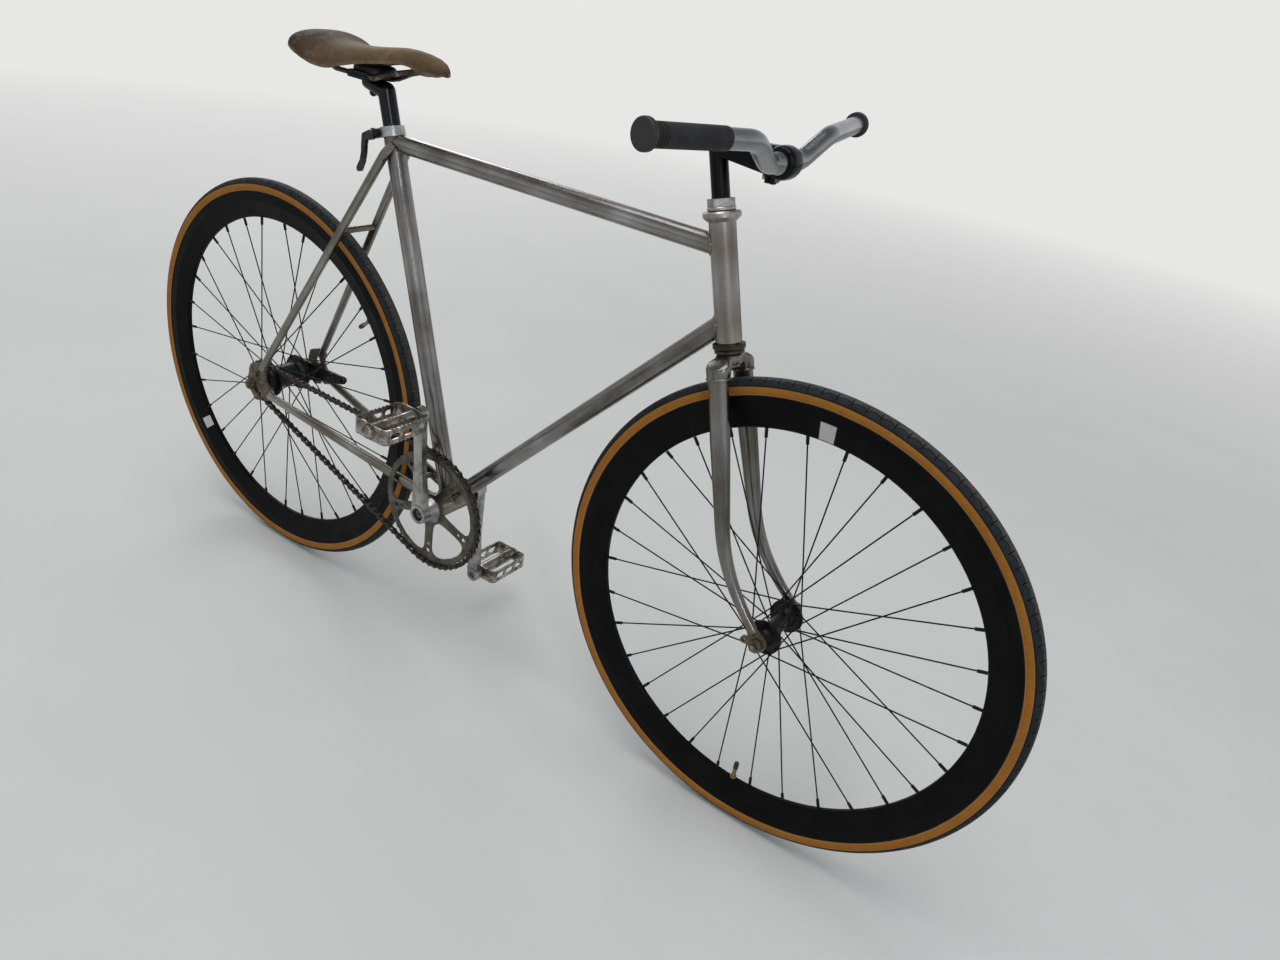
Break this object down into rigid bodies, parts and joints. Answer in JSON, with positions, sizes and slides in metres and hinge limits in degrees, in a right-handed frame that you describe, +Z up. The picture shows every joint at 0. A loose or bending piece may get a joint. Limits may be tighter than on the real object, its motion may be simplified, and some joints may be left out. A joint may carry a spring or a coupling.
{
  "type": "single-speed bicycle",
  "caption": "Road-style single-speed bicycle with a bare steel frame, deep black rims, tan-wall tyres, riser bar, coaster brake hub, chain drive and cage pedals.",
  "frame": {"origin": "the rider's seat point on top of the saddle", "axes": "+X forward, +Y to the rider's left, +Z up"},
  "size_m": [1.678, 0.5172, 0.9529],
  "materials": {
    "brushed_frame_steel": "bare brushed steel with brown streaks",
    "headset_chrome": "worn bright plating",
    "steerer_steel": "plain turned steel",
    "cup_steel": "dull turned steel",
    "black_paint": "semi-gloss black",
    "black_rim_paint": "satin black",
    "black_hub_paint": "gloss black",
    "black_spoke_steel": "black",
    "tyre_rubber": "black tread with tan sidewalls",
    "valve_brass": "dull",
    "rusty_steel": "rusty",
    "chain_steel": "dark, oily and rusty",
    "chainring_alloy": "dull grey",
    "crank_alloy": "worn polish",
    "pedal_steel": "pitted plating with rust",
    "grip_rubber": "matt",
    "plug_plastic": "matt, blank",
    "saddle_leather": "worn and cracked",
    "rail_steel": "dark, rusty"
  },
  "bodies": {
    "frame": {"head_tube": "brushed_frame_steel", "top_tube": "brushed_frame_steel", "down_tube": "brushed_frame_steel", "seat_tube": "brushed_frame_steel", "bottom_bracket_shell": "brushed_frame_steel", "bottom_bracket_cups": "cup_steel", "chainstays": "brushed_frame_steel", "seatstays": "brushed_frame_steel", "stay_bridges": "brushed_frame_steel", "rear_dropouts": "brushed_frame_steel", "headset_cups": "headset_chrome", "seat_collar": "headset_chrome", "seat_release_lever": "black_paint", "seatpost": "black_paint", "saddle_clamp": "black_paint", "saddle_rails": "rail_steel", "saddle": "saddle_leather", "rear_axle": "rusty_steel", "rear_axle_nuts": "rusty_steel", "coaster_arm": "black_paint", "chain": "chain_steel"},
    "steering": {"fork_crown": "brushed_frame_steel", "steerer": "steerer_steel", "fork_blades": "brushed_frame_steel", "front_dropouts": "brushed_frame_steel", "headset_nuts": "headset_chrome", "stem": "black_paint", "handlebar": "brushed_frame_steel", "grip_right": "grip_rubber", "bar_end_plugs": "plug_plastic", "front_axle": "rusty_steel", "front_axle_nuts": "rusty_steel"},
    "front_wheel": {"front_hub": "black_hub_paint", "front_spokes": "black_spoke_steel", "front_rim": "black_rim_paint", "front_tyre": "tyre_rubber", "front_valve": "valve_brass"},
    "rear_wheel": {"rear_hub": "black_hub_paint", "rear_spokes": "black_spoke_steel", "rear_rim": "black_rim_paint", "rear_tyre": "tyre_rubber", "rear_valve": "valve_brass"},
    "sprocket": {"rear_sprocket": "chain_steel"},
    "crankset": {"crank_spindle": "cup_steel", "chainring": "chainring_alloy", "crank_arm_right": "crank_alloy", "crank_arm_left": "crank_alloy", "pedal_axles": "pedal_steel"},
    "pedal_right": {"pedal_barrel_right": "pedal_steel", "pedal_cage_right": "pedal_steel"},
    "pedal_left": {"pedal_barrel_left": "pedal_steel", "pedal_cage_left": "pedal_steel"}
  },
  "joints": [
    {"name": "steering_turn", "type": "hinge", "parent": "frame", "child": "steering", "pos_m": [0.76244, 0, -0.59062], "axis": [-0.2924, 0, 0.9563], "range_deg": [-90, 90]},
    {"name": "front_wheel_spin", "type": "hinge", "parent": "steering", "child": "front_wheel", "pos_m": [0.807, 0, -0.577], "axis": [0, 1, 0], "continuous": true},
    {"name": "rear_wheel_spin", "type": "hinge", "parent": "frame", "child": "rear_wheel", "pos_m": [-0.195, 0, -0.577], "axis": [0, 1, 0], "continuous": true},
    {"name": "crank_spin", "type": "hinge", "parent": "frame", "child": "crankset", "pos_m": [0.21878, 0, -0.649], "axis": [0, 1, 0], "continuous": true},
    {"name": "sprocket_spin", "type": "hinge", "parent": "frame", "child": "sprocket", "pos_m": [-0.195, -0.043, -0.577], "axis": [0, 1, 0], "continuous": true},
    {"name": "pedal_right_spin", "type": "hinge", "parent": "crankset", "child": "pedal_right", "pos_m": [0.20692, -0.12, -0.47941], "axis": [0, 1, 0], "continuous": true},
    {"name": "pedal_left_spin", "type": "hinge", "parent": "crankset", "child": "pedal_left", "pos_m": [0.23064, 0.12, -0.81859], "axis": [0, 1, 0], "continuous": true}
  ],
  "couplings": [
    {"joint": "sprocket_spin", "follows": "crank_spin", "ratio": 3.125}
  ]
}
